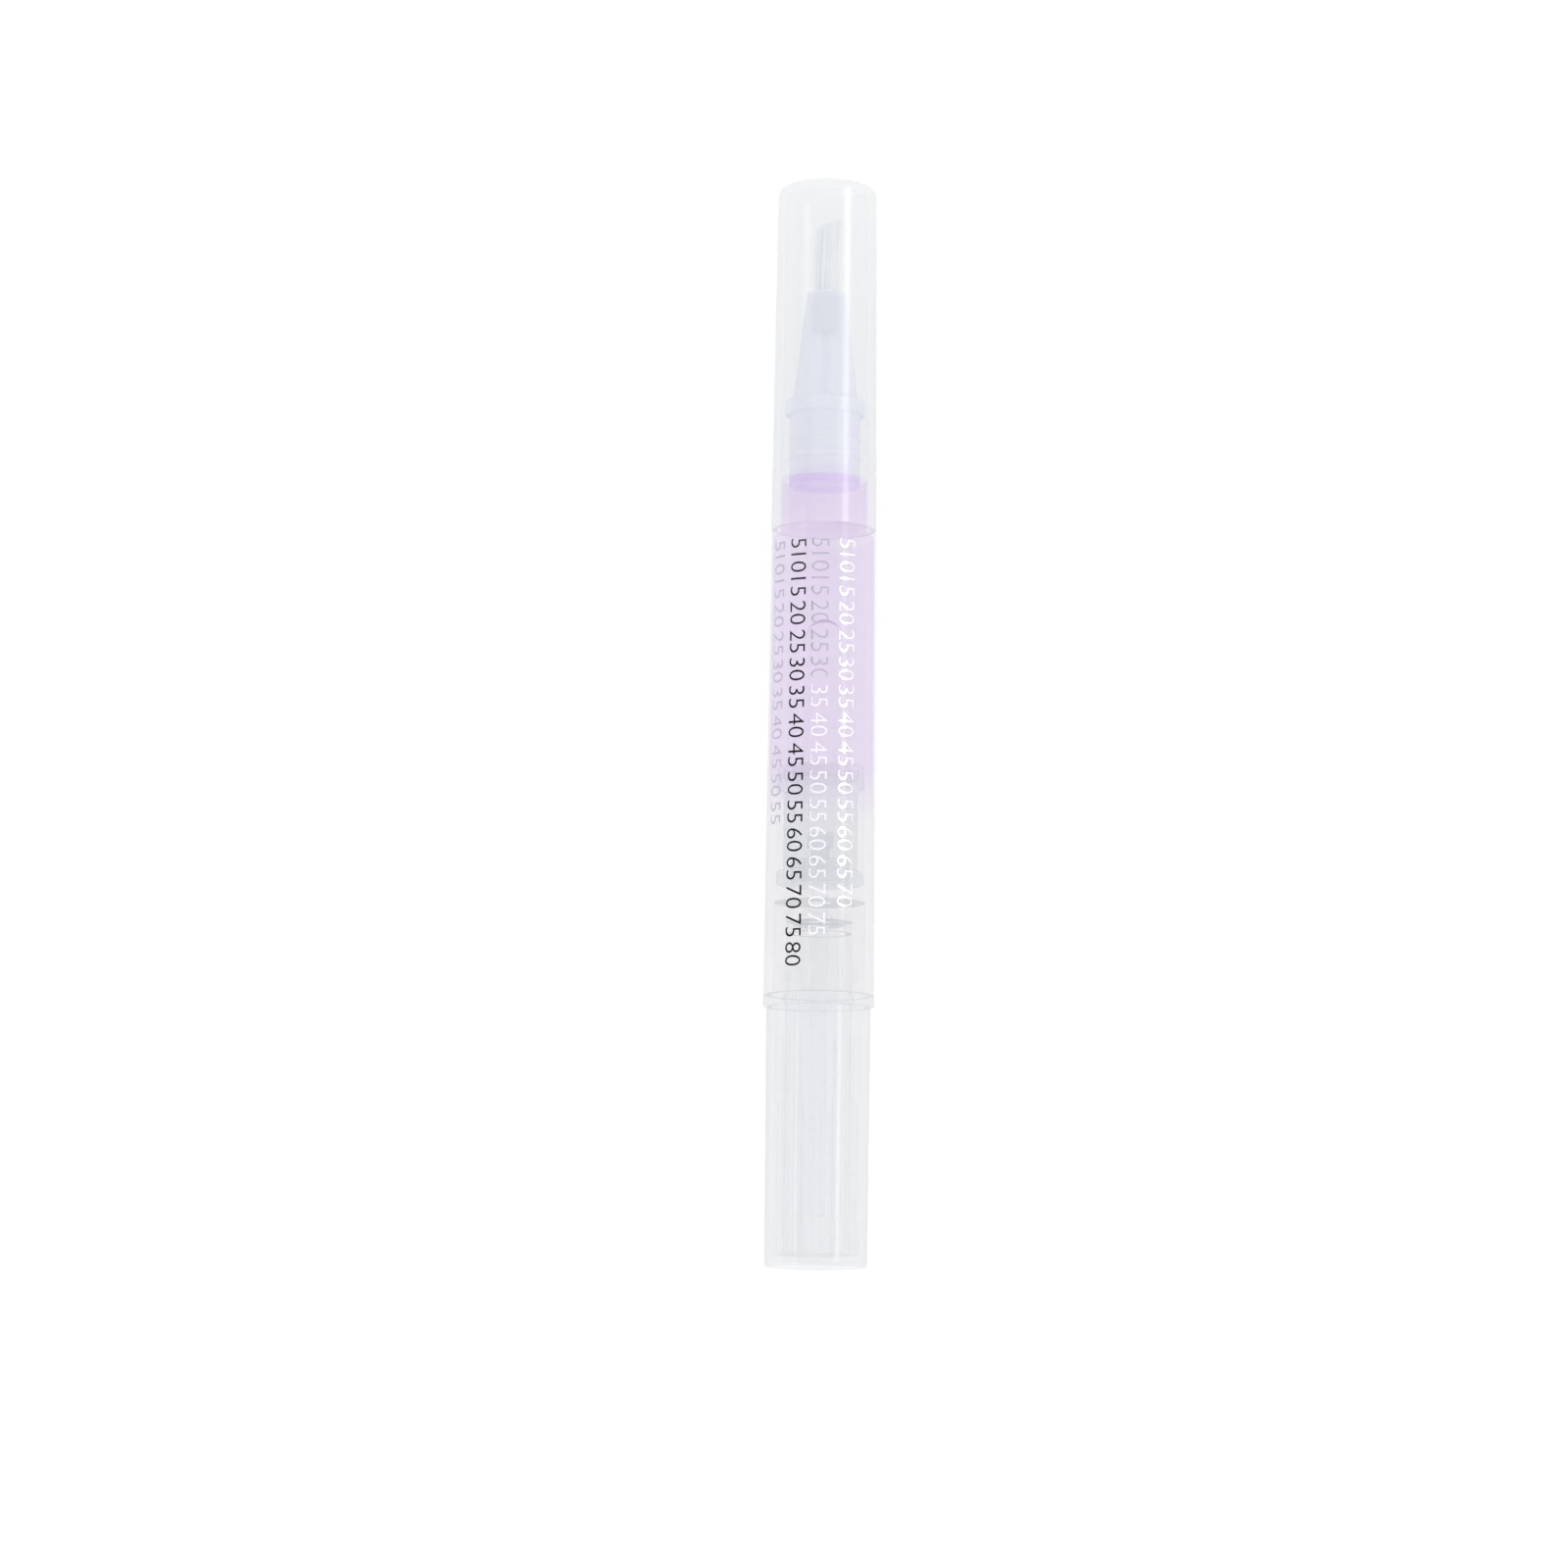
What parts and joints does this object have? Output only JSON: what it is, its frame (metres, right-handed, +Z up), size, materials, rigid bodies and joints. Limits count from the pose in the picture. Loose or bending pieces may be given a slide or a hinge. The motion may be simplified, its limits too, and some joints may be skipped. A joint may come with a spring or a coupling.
{
  "type": "nail oil pen",
  "caption": "Slim twist-up pen for nail oil: clear barrel, frosted pull-off cap, brush tip, and a clear end knob whose lead screw drives a piston.",
  "frame": {"origin": "middle of the pen's bounding box at its bottom, where the pen lies on its side with the ring touching Z = 0", "axes": "+Y along the pen from the knob to the cap, +Z up, +X across the pen"},
  "size_m": [0.0126, 0.124, 0.0125],
  "materials": {
    "frosted_cap": "translucent frosted moulding",
    "clear_barrel": "clear polished moulding",
    "milky_nozzle": "milky translucent moulding",
    "nylon_bristles": "fine soft bristles",
    "fused_nylon": "melted bristle ends",
    "feed_tube_plastic": "fine smooth tube",
    "nail_oil": "clear pale violet oil",
    "white_piston": "soft white seal plastic",
    "white_screw": "smooth white moulding",
    "clear_insert": "clear polished moulding",
    "milky_sleeve": "milky translucent moulding",
    "clear_knob": "clear polished moulding"
  },
  "bodies": {
    "barrel": {"barrel": "clear_barrel", "thread_insert": "clear_insert", "nozzle": "milky_nozzle", "brush_tuft": "nylon_bristles", "brush_plug": "fused_nylon", "feed_tube": "feed_tube_plastic", "oil_fill": "nail_oil"},
    "knob": {"knob": "clear_knob", "drive_sleeve": "milky_sleeve"},
    "lead_screw": {"lead_screw": "white_screw"},
    "piston": {"piston": "white_piston"},
    "cap": {"cap": "frosted_cap"}
  },
  "joints": [
    {"name": "knob_twist", "type": "hinge", "parent": "barrel", "child": "knob", "pos_m": [0, -0.0474, 0.00628], "axis": [0, 1, 0], "range_deg": [0, 3600]},
    {"name": "screw_slide", "type": "slide", "parent": "knob", "child": "lead_screw", "axis": [0, 1, 0], "range_m": [0, 0.026]},
    {"name": "piston_slide", "type": "slide", "parent": "barrel", "child": "piston", "axis": [0, 1, 0], "range_m": [0, 0.026], "deforming": ["oil_fill"]},
    {"name": "cap_pull", "type": "slide", "parent": "barrel", "child": "cap", "axis": [0, 1, 0], "range_m": [0, 0.045]}
  ],
  "couplings": [
    {"joint": "screw_slide", "follows": "knob_twist", "m_per_rad": 0.0004138},
    {"joint": "piston_slide", "follows": "knob_twist", "m_per_rad": 0.0004138}
  ]
}
